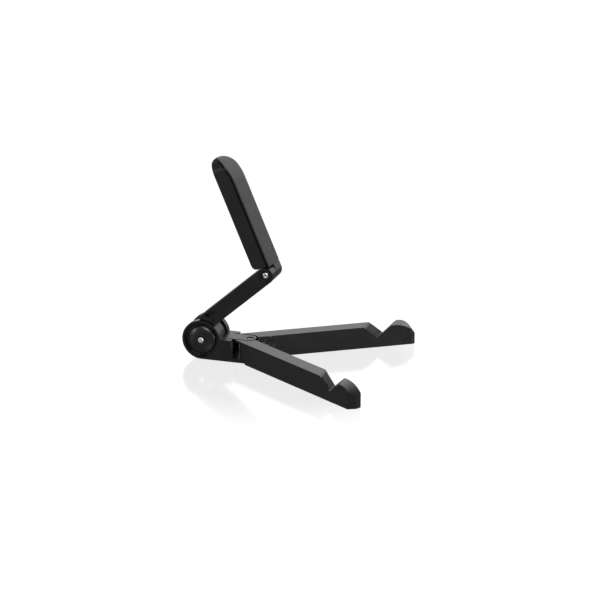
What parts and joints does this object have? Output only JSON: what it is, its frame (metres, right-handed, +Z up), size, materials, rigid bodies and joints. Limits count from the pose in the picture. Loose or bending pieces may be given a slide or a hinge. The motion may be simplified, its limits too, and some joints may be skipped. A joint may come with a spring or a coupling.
{
  "type": "tablet stand",
  "caption": "Folding stand for a tablet: a round hub carries two swinging legs with edge notches and a jointed arm with a tilting soft-faced backrest.",
  "frame": {"origin": "middle of the footprint of the open stand, on the table", "axes": "+X forward from the hub to the leg tips, +Y to the left of a person facing the backrest pad's way, +Z up"},
  "size_m": [0.1678, 0.168, 0.1651],
  "materials": {
    "black_plastic": "black moulded plastic, satin with a very fine grain",
    "soft_pad": "dark grey soft-touch face, finely textured",
    "black_rubber": "matte black rubber",
    "bright_steel": "bright zinc-plated steel"
  },
  "bodies": {
    "base": {"hub_body": "black_plastic", "hub_cap_near": "black_plastic", "hub_cap_far": "black_plastic", "hub_washer_near": "bright_steel", "hub_washer_far": "bright_steel", "hub_axle_screw": "bright_steel", "hub_axle_nut": "bright_steel", "leg_pivot_screw": "bright_steel", "leg_pivot_nut": "bright_steel", "leg_pivot_washer": "bright_steel", "hub_foot": "black_rubber"},
    "leg_near": {"leg_near": "black_plastic", "leg_cover_near": "black_plastic", "notch_grip_near": "black_rubber", "leg_foot_near": "black_rubber"},
    "leg_far": {"leg_far": "black_plastic", "leg_cover_far": "black_plastic", "notch_grip_far": "black_rubber", "leg_foot_far": "black_rubber"},
    "link": {"link_arm": "black_plastic", "link_cover": "black_plastic", "elbow_screw": "bright_steel", "elbow_washer": "bright_steel"},
    "backrest": {"back_shell": "black_plastic", "back_frame": "black_plastic", "back_facing": "soft_pad", "back_screw_1": "bright_steel", "back_screw_2": "bright_steel", "back_screw_3": "bright_steel", "elbow_nut": "bright_steel"}
  },
  "joints": [
    {"name": "link_tilt", "type": "hinge", "parent": "base", "child": "link", "pos_m": [-0.06792, 0, 0.0164], "axis": [0, -1, 0], "range_deg": [-41, 49]},
    {"name": "back_tilt", "type": "hinge", "parent": "link", "child": "backrest", "pos_m": [-0.01415, 0, 0.0748], "axis": [0, -1, 0], "range_deg": [-72, 15]},
    {"name": "leg_near_swing", "type": "hinge", "parent": "base", "child": "leg_near", "pos_m": [-0.03052, 0, 0.0093], "axis": [0, 0, 1], "range_deg": [0, 33]},
    {"name": "leg_far_swing", "type": "hinge", "parent": "base", "child": "leg_far", "pos_m": [-0.03052, 0, 0.0093], "axis": [0, 0, -1], "range_deg": [0, 33]}
  ]
}
